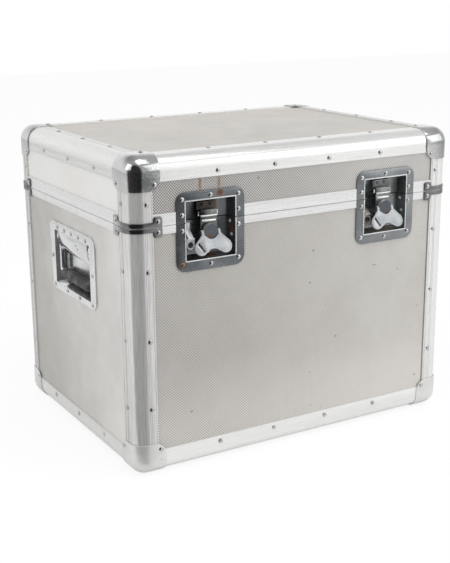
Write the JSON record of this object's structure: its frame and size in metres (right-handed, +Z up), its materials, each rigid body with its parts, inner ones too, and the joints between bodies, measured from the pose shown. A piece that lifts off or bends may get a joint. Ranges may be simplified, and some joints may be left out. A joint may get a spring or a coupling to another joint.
{
  "type": "microphone flight case",
  "caption": "Deep aluminium-clad flight case with a hinged lid, recessed butterfly latches, sprung side handles, ball corners and foam compartments.",
  "frame": {"origin": "centre of the footprint, on the floor that the corner caps stand on", "axes": "+X to the right along the front, +Y towards the rear hinges, +Z up"},
  "size_m": [0.5258, 0.4036, 0.4329],
  "materials": {
    "faced_panel": "plywood faced with finely embossed, lightly worn aluminium sheet",
    "angle_aluminium": "satin anodised extrusion with fine lengthwise grooves, scuffed",
    "cap_chrome": "bright plated pressed steel",
    "cap_zinc": "dull scuffed plate",
    "brace_steel": "darkened plated steel",
    "dish_zinc": "worn dark zinc plate with rust in the corners",
    "latch_zinc": "worn zinc plate",
    "latch_bright": "bright nickel plate, hand worn",
    "handle_chrome": "bright plated pressed steel",
    "spring_steel": "oiled spring wire",
    "hinge_zinc": "dull zinc plate",
    "rivet_steel": "domed rivet heads, some rusted",
    "grip_rubber": "grey moulded rubber",
    "foam": "dark grey open-cell foam"
  },
  "bodies": {
    "base": {"base_front_panel": "faced_panel", "base_rear_panel": "faced_panel", "base_left_panel": "faced_panel", "base_right_panel": "faced_panel", "base_floor_panel": "faced_panel", "base_corner_angles": "angle_aluminium", "base_front_edge_angle": "angle_aluminium", "base_rear_edge_angle": "angle_aluminium", "base_left_edge_angle": "angle_aluminium", "base_right_edge_angle": "angle_aluminium", "base_closure": "angle_aluminium", "base_corner_caps": "cap_zinc", "base_corner_braces": "brace_steel", "latch_dish_lower_left": "dish_zinc", "latch_dish_lower_right": "dish_zinc", "padlock_eye_left": "dish_zinc", "padlock_eye_right": "dish_zinc", "handle_dish_left": "handle_chrome", "handle_dish_right": "handle_chrome", "handle_cover_left": "handle_chrome", "handle_cover_right": "handle_chrome", "handle_springs": "spring_steel", "hinge_lower_leaves": "hinge_zinc", "hinge_pins": "hinge_zinc", "base_rivets": "rivet_steel", "foam_floor_pad": "foam", "foam_wall_liners": "foam", "foam_dividers": "foam"},
    "lid": {"lid_top_panel": "faced_panel", "lid_front_panel": "faced_panel", "lid_rear_panel": "faced_panel", "lid_left_panel": "faced_panel", "lid_right_panel": "faced_panel", "lid_front_edge_angle": "angle_aluminium", "lid_rear_edge_angle": "angle_aluminium", "lid_left_edge_angle": "angle_aluminium", "lid_right_edge_angle": "angle_aluminium", "lid_corner_angles": "angle_aluminium", "lid_closure": "angle_aluminium", "lid_corner_caps": "cap_chrome", "lid_corner_braces": "brace_steel", "latch_dish_upper_left": "dish_zinc", "latch_dish_upper_right": "dish_zinc", "latch_keeper_left": "dish_zinc", "latch_keeper_right": "dish_zinc", "hinge_upper_leaves": "hinge_zinc", "lid_rivets": "rivet_steel", "lid_foam_pad": "foam"},
    "latch_spindle_left": {"latch_spindle_left": "latch_zinc"},
    "latch_wing_left": {"latch_wing_left": "latch_bright", "latch_wing_pin_left": "latch_zinc"},
    "latch_hook_left": {"latch_hook_left": "latch_zinc"},
    "handle_bail_left": {"handle_bail_left": "handle_chrome", "handle_grip_left": "grip_rubber"},
    "latch_spindle_right": {"latch_spindle_right": "latch_zinc"},
    "latch_wing_right": {"latch_wing_right": "latch_bright", "latch_wing_pin_right": "latch_zinc"},
    "latch_hook_right": {"latch_hook_right": "latch_zinc"},
    "handle_bail_right": {"handle_bail_right": "handle_chrome", "handle_grip_right": "grip_rubber"}
  },
  "joints": [
    {"name": "lid_hinge", "type": "hinge", "parent": "base", "child": "lid", "pos_m": [0, 0.196, 0.34], "axis": [-1, 0, 0], "range_deg": [0, 95]},
    {"name": "spindle_turn_left", "type": "hinge", "parent": "base", "child": "latch_spindle_left", "pos_m": [-0.1435, -0.1932, 0.325], "axis": [0, -1, 0], "range_deg": [0, 180]},
    {"name": "wing_fold_left", "type": "hinge", "parent": "latch_spindle_left", "child": "latch_wing_left", "pos_m": [-0.1435, -0.191, 0.325], "axis": [-1, 0, 0], "range_deg": [-18, 72]},
    {"name": "hook_lift_left", "type": "slide", "parent": "base", "child": "latch_hook_left", "axis": [0, 0, 1], "range_m": [0, 0.004]},
    {"name": "bail_swing_left", "type": "hinge", "parent": "base", "child": "handle_bail_left", "pos_m": [-0.2522, 0, 0.284], "axis": [0, 1, 0], "range_deg": [0, 90], "stiffness_Nm_per_rad": 0.06, "springref_deg": -28.65},
    {"name": "spindle_turn_right", "type": "hinge", "parent": "base", "child": "latch_spindle_right", "pos_m": [0.1435, -0.1932, 0.325], "axis": [0, -1, 0], "range_deg": [0, 180]},
    {"name": "wing_fold_right", "type": "hinge", "parent": "latch_spindle_right", "child": "latch_wing_right", "pos_m": [0.1435, -0.191, 0.325], "axis": [-1, 0, 0], "range_deg": [-18, 72]},
    {"name": "hook_lift_right", "type": "slide", "parent": "base", "child": "latch_hook_right", "axis": [0, 0, 1], "range_m": [0, 0.004]},
    {"name": "bail_swing_right", "type": "hinge", "parent": "base", "child": "handle_bail_right", "pos_m": [0.2522, 0, 0.284], "axis": [0, -1, 0], "range_deg": [0, 90], "stiffness_Nm_per_rad": 0.06, "springref_deg": -28.65}
  ],
  "couplings": [
    {"joint": "hook_lift_left", "follows": "spindle_turn_left", "m_per_rad": 0.0012731},
    {"joint": "hook_lift_right", "follows": "spindle_turn_right", "m_per_rad": 0.0012731}
  ]
}
